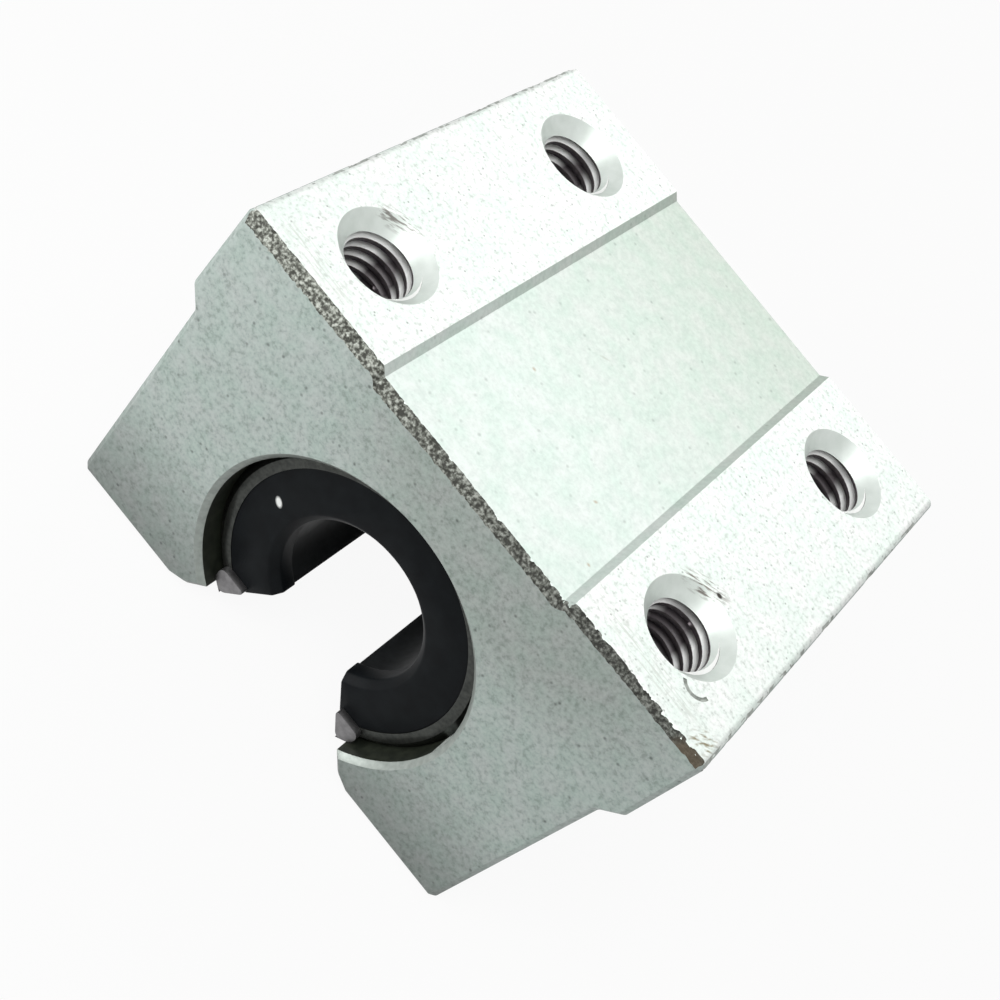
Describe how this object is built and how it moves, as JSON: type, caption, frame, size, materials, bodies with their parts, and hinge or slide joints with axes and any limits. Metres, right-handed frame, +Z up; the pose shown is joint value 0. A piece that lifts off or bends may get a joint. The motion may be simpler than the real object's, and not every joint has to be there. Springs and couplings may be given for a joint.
{
  "type": "open-type linear bearing block",
  "caption": "Extruded aluminium pillow block around an open recirculating ball bearing with rubber seals; it slides on a rail-supported round shaft and carries a table on its tapped top face.",
  "frame": {"origin": "on the shaft axis, half way along the block", "axes": "+X across the block, +Y along the shaft towards the rear end, +Z up to the tapped mounting face; the rail opening faces -Z"},
  "size_m": [0.036, 0.032, 0.024],
  "materials": {
    "anodised_aluminium": "bead-blasted, clear anodised",
    "bearing_steel": "ground",
    "ball_steel": "polished",
    "cage_resin": "moulded",
    "seal_rubber": "smooth moulded",
    "screw_steel": "black oxide"
  },
  "bodies": {
    "root": {"housing": "anodised_aluminium", "bearing_sleeve": "bearing_steel", "ball_cage": "cage_resin", "ball_circuit_left": "ball_steel", "ball_circuit_top": "ball_steel", "ball_circuit_right": "ball_steel", "end_ring_front": "bearing_steel", "end_ring_rear": "bearing_steel", "seal_front": "seal_rubber", "seal_rear": "seal_rubber", "set_screw": "screw_steel"}
  },
  "joints": []
}
